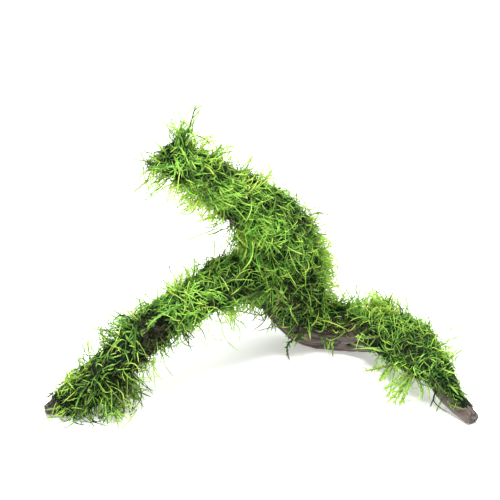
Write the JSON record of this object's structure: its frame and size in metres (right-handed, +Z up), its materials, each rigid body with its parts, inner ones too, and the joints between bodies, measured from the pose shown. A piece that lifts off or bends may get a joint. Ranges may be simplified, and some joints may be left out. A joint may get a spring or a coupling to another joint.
{
  "type": "java moss on driftwood",
  "caption": "Branching driftwood on splayed legs, wrapped in java moss with loose feathery fronds. A free-standing aquarium plant that rests on its feet and belly.",
  "frame": {"origin": "centre of the bounding box, at the floor that the wood stands on", "axes": "+Z up, +X along the longest extent from the left foot to the right foot, +Y away from the camera"},
  "size_m": [0.2649, 0.1443, 0.1807],
  "materials": {
    "driftwood": "soaked, weathered, with fissured grain",
    "moss": "soft, wet, translucent fronds"
  },
  "bodies": {
    "root": {"driftwood_upper_branch": "driftwood", "driftwood_left_leg": "driftwood", "driftwood_right_leg": "driftwood", "moss_upper_branch": "moss", "moss_left_leg": "moss", "moss_right_leg": "moss"}
  },
  "joints": []
}
